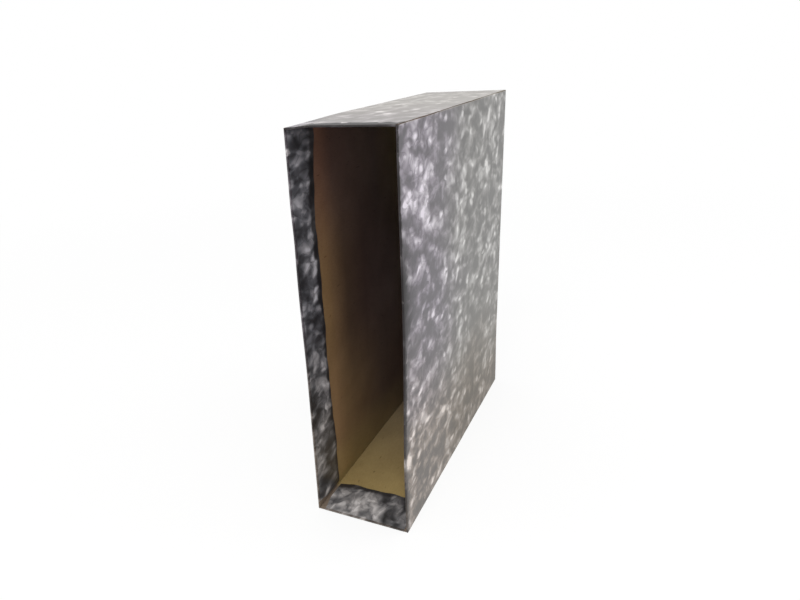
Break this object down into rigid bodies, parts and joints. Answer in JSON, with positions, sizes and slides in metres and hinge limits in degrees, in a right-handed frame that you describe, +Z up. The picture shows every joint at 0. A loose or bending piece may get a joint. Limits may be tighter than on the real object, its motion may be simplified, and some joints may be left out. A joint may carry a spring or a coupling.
{
  "type": "box file case",
  "caption": "Open-fronted upright box file case of folded brown board, covered in black and grey marbled paper turned in round the mouth.",
  "frame": {"origin": "centre of the underside of the case, on the surface that it stands on", "axes": "+Z up along the height, -Y out of the open mouth, +X to the right seen from the mouth"},
  "size_m": [0.083, 0.29, 0.324],
  "materials": {
    "brown_board": "bare brown board, matt, slightly fibrous",
    "marbled_paper": "black and grey cloud marbling, satin"
  },
  "bodies": {
    "root": {"board_case": "brown_board", "side_wrap": "marbled_paper", "top_strip": "marbled_paper", "bottom_strip": "marbled_paper"}
  },
  "joints": []
}
